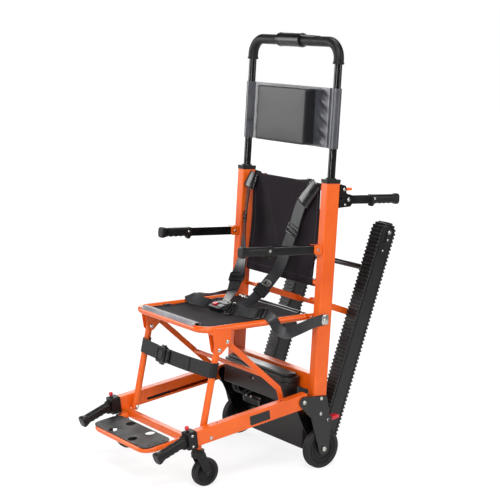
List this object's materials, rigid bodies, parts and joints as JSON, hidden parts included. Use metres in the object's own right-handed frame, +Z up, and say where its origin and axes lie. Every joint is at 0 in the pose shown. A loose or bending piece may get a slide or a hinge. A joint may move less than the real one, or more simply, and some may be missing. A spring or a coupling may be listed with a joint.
{
  "type": "evacuation chair",
  "caption": "Folding stair evacuation chair with ribbed powered tracks, push handle, carrying handles, harness, footrest, rear wheels and swivel casters.",
  "frame": {"origin": "on the floor, under the middle of the chair's length and width", "axes": "+X to the sitter's left, -Y the way the sitter faces, +Z up"},
  "size_m": [0.5666, 1.031, 1.5625],
  "materials": {
    "orange_coat": "orange powder coat, satin, over aluminium",
    "black_coat": "black satin coat over aluminium",
    "black_plastic": "matt moulded",
    "rubber": "matt ribbed rubber",
    "wheel": "dark wheel with a rubber tread",
    "cloth": "dark woven cloth",
    "vinyl": "black leathercloth with a slight sheen",
    "webbing": "dark woven webbing",
    "steel": "plain steel",
    "strip": "grey edge strip",
    "red": "red moulded"
  },
  "bodies": {
    "base": {"back_frame": "orange_coat", "upright_cap_left": "black_plastic", "upright_cap_right": "black_plastic", "backrest_panel": "cloth", "wheel_bracket_left": "black_coat", "wheel_bracket_right": "black_coat", "battery_box": "black_plastic", "drive_housing": "black_plastic", "rear_handle_bracket_left": "black_coat", "rear_handle_bracket_right": "black_coat", "shoulder_strap_left": "webbing", "shoulder_strap_right": "webbing", "lap_belt_left": "webbing", "lap_belt_right": "webbing"},
    "push_handle": {"push_handle_tube": "black_coat", "push_handle_grip": "black_plastic", "headrest_sling": "vinyl", "headrest_pad": "vinyl"},
    "rails": {"rail_frame": "orange_coat", "rail_collar_left": "black_plastic", "rail_collar_right": "black_plastic"},
    "footrest": {"footrest_frame": "orange_coat", "footrest_plate": "black_plastic"},
    "seat": {"seat_frame": "orange_coat", "seat_panel": "cloth", "seat_front_strip": "strip", "seat_hinge_bar": "black_coat", "harness_buckle": "black_plastic"},
    "buckle_button": {"buckle_button": "red"},
    "legs": {"leg_left": "orange_coat", "leg_right": "orange_coat", "leg_strap": "webbing"},
    "seat_brace": {"seat_brace": "orange_coat"},
    "tracks": {"track_frame": "black_coat", "track_belt_left": "rubber", "track_belt_right": "rubber"},
    "drive_shaft": {"drive_shaft": "steel"},
    "track_link": {"track_link": "orange_coat"},
    "armrest_left": {"armrest_left": "black_plastic"},
    "armrest_right": {"armrest_right": "black_plastic"},
    "rear_handle_left": {"rear_handle_left": "black_plastic"},
    "rear_handle_right": {"rear_handle_right": "black_plastic"},
    "rear_handle_lever_left": {"rear_handle_lever_left": "orange_coat"},
    "rear_handle_lever_right": {"rear_handle_lever_right": "orange_coat"},
    "lift_handle_left": {"lift_handle_left": "black_plastic"},
    "lift_handle_right": {"lift_handle_right": "black_plastic"},
    "lock_knob_left": {"lock_knob_left": "red"},
    "lock_knob_right": {"lock_knob_right": "red"},
    "caster_fork_left": {"caster_fork_left": "black_plastic"},
    "caster_fork_right": {"caster_fork_right": "black_plastic"},
    "caster_wheel_left": {"caster_wheel_left": "wheel"},
    "caster_wheel_right": {"caster_wheel_right": "wheel"},
    "seat_latch_left": {"seat_latch_pin_left": "steel"},
    "seat_latch_right": {"seat_latch_pin_right": "steel"},
    "track_idler_left": {"track_idler_left": "black_plastic"},
    "track_idler_right": {"track_idler_right": "black_plastic"},
    "rear_wheel_left": {"rear_wheel_left": "wheel"},
    "rear_wheel_right": {"rear_wheel_right": "wheel"},
    "brake_lever_left": {"brake_lever_left": "red"},
    "brake_lever_right": {"brake_lever_right": "red"}
  },
  "joints": [
    {"name": "push_handle_slide", "type": "slide", "parent": "base", "child": "push_handle", "axis": [0, 0, 1], "range_m": [-0.1, 0]},
    {"name": "frame_fold", "type": "hinge", "parent": "base", "child": "rails", "pos_m": [0, 0.0942, 0.258], "axis": [-1, 0, 0], "range_deg": [0, 65]},
    {"name": "seat_fold", "type": "hinge", "parent": "base", "child": "seat", "pos_m": [0, 0.13918, 0.55896], "axis": [-1, 0, 0], "range_deg": [0, 66], "deforming": ["shoulder_strap_left", "shoulder_strap_right", "lap_belt_left", "lap_belt_right"]},
    {"name": "leg_fold", "type": "hinge", "parent": "seat", "child": "legs", "pos_m": [0, -0.25841, 0.46813], "axis": [1, 0, 0], "range_deg": [0, 66]},
    {"name": "brace_fold", "type": "hinge", "parent": "seat", "child": "seat_brace", "pos_m": [0, -0.22641, 0.49613], "axis": [1, 0, 0], "range_deg": [0, 17.6]},
    {"name": "footrest_fold", "type": "hinge", "parent": "rails", "child": "footrest", "pos_m": [0, -0.36561, 0.146], "axis": [-1, 0, 0], "range_deg": [0, 95]},
    {"name": "track_fold", "type": "hinge", "parent": "base", "child": "tracks", "pos_m": [0, 0.2592, 0.11], "axis": [1, 0, 0], "range_deg": [0, 16.3]},
    {"name": "track_link_fold", "type": "hinge", "parent": "base", "child": "track_link", "pos_m": [0, 0.1882, 0.605], "axis": [-1, 0, 0], "range_deg": [0, 54.1]},
    {"name": "drive_spin", "type": "hinge", "parent": "tracks", "child": "drive_shaft", "pos_m": [0, 0.2592, 0.11], "axis": [1, 0, 0], "continuous": true},
    {"name": "idler_spin_left", "type": "hinge", "parent": "tracks", "child": "track_idler_left", "pos_m": [0.203, 0.47765, 0.85462], "axis": [1, 0, 0], "continuous": true},
    {"name": "idler_spin_right", "type": "hinge", "parent": "tracks", "child": "track_idler_right", "pos_m": [-0.203, 0.47765, 0.85462], "axis": [1, 0, 0], "continuous": true},
    {"name": "buckle_press", "type": "slide", "parent": "seat", "child": "buckle_button", "axis": [0, 0, -1], "range_m": [0, 0.003], "stiffness_N_per_m": 400},
    {"name": "armrest_lift_left", "type": "hinge", "parent": "base", "child": "armrest_left", "pos_m": [0.257, 0.1202, 0.808], "axis": [-1, 0, 0], "range_deg": [0, 90]},
    {"name": "armrest_lift_right", "type": "hinge", "parent": "base", "child": "armrest_right", "pos_m": [-0.257, 0.1202, 0.808], "axis": [-1, 0, 0], "range_deg": [0, 90]},
    {"name": "rear_handle_fold_left", "type": "hinge", "parent": "base", "child": "rear_handle_left", "pos_m": [0.257, 0.2442, 0.985], "axis": [-1, 0, 0], "range_deg": [0, 90]},
    {"name": "rear_handle_fold_right", "type": "hinge", "parent": "base", "child": "rear_handle_right", "pos_m": [-0.257, 0.2442, 0.985], "axis": [-1, 0, 0], "range_deg": [0, 90]},
    {"name": "rear_lever_left", "type": "hinge", "parent": "base", "child": "rear_handle_lever_left", "pos_m": [0.257, 0.2212, 1.022], "axis": [1, 0, 0], "range_deg": [0, 25], "stiffness_Nm_per_rad": 0.3},
    {"name": "rear_lever_right", "type": "hinge", "parent": "base", "child": "rear_handle_lever_right", "pos_m": [-0.257, 0.2212, 1.022], "axis": [1, 0, 0], "range_deg": [0, 25], "stiffness_Nm_per_rad": 0.3},
    {"name": "lift_handle_slide_left", "type": "slide", "parent": "rails", "child": "lift_handle_left", "axis": [0, -0.9831, -0.1831], "range_m": [0, 0.15]},
    {"name": "lift_handle_slide_right", "type": "slide", "parent": "rails", "child": "lift_handle_right", "axis": [0, -0.9831, -0.1831], "range_m": [0, 0.15]},
    {"name": "lock_knob_pull_left", "type": "slide", "parent": "rails", "child": "lock_knob_left", "axis": [0, -0.1831, 0.9831], "range_m": [0, 0.007], "stiffness_N_per_m": 200},
    {"name": "lock_knob_pull_right", "type": "slide", "parent": "rails", "child": "lock_knob_right", "axis": [0, -0.1831, 0.9831], "range_m": [0, 0.007], "stiffness_N_per_m": 200},
    {"name": "caster_swivel_left", "type": "hinge", "parent": "rails", "child": "caster_fork_left", "pos_m": [0.257, -0.33885, 0.1335], "axis": [0, 0, 1], "continuous": true},
    {"name": "caster_swivel_right", "type": "hinge", "parent": "rails", "child": "caster_fork_right", "pos_m": [-0.257, -0.33885, 0.1335], "axis": [0, 0, 1], "continuous": true},
    {"name": "caster_roll_left", "type": "hinge", "parent": "caster_fork_left", "child": "caster_wheel_left", "pos_m": [0.257, -0.30585, 0.05], "axis": [1, 0, 0], "continuous": true},
    {"name": "caster_roll_right", "type": "hinge", "parent": "caster_fork_right", "child": "caster_wheel_right", "pos_m": [-0.257, -0.30585, 0.05], "axis": [1, 0, 0], "continuous": true},
    {"name": "rear_wheel_roll_left", "type": "hinge", "parent": "base", "child": "rear_wheel_left", "pos_m": [0.258, 0.1992, 0.075], "axis": [1, 0, 0], "continuous": true},
    {"name": "rear_wheel_roll_right", "type": "hinge", "parent": "base", "child": "rear_wheel_right", "pos_m": [-0.258, 0.1992, 0.075], "axis": [1, 0, 0], "continuous": true},
    {"name": "brake_press_left", "type": "hinge", "parent": "base", "child": "brake_lever_left", "pos_m": [0.258, 0.2112, 0.182], "axis": [-1, 0, 0], "range_deg": [0, 20]},
    {"name": "brake_press_right", "type": "hinge", "parent": "base", "child": "brake_lever_right", "pos_m": [-0.258, 0.2112, 0.182], "axis": [-1, 0, 0], "range_deg": [0, 20]},
    {"name": "seat_latch_slide_left", "type": "slide", "parent": "seat", "child": "seat_latch_left", "axis": [-1, 0, 0], "range_m": [0, 0.008], "stiffness_N_per_m": 300},
    {"name": "seat_latch_slide_right", "type": "slide", "parent": "seat", "child": "seat_latch_right", "axis": [1, 0, 0], "range_m": [0, 0.008], "stiffness_N_per_m": 300}
  ],
  "couplings": [
    {"joint": "seat_fold", "follows": "frame_fold", "ratio": 1},
    {"joint": "leg_fold", "follows": "frame_fold", "ratio": 1},
    {"joint": "brace_fold", "follows": "frame_fold", "ratio": 0.25553},
    {"joint": "track_link_fold", "follows": "track_fold", "ratio": 3.2573},
    {"joint": "idler_spin_left", "follows": "drive_spin", "ratio": 1},
    {"joint": "idler_spin_right", "follows": "drive_spin", "ratio": 1}
  ]
}
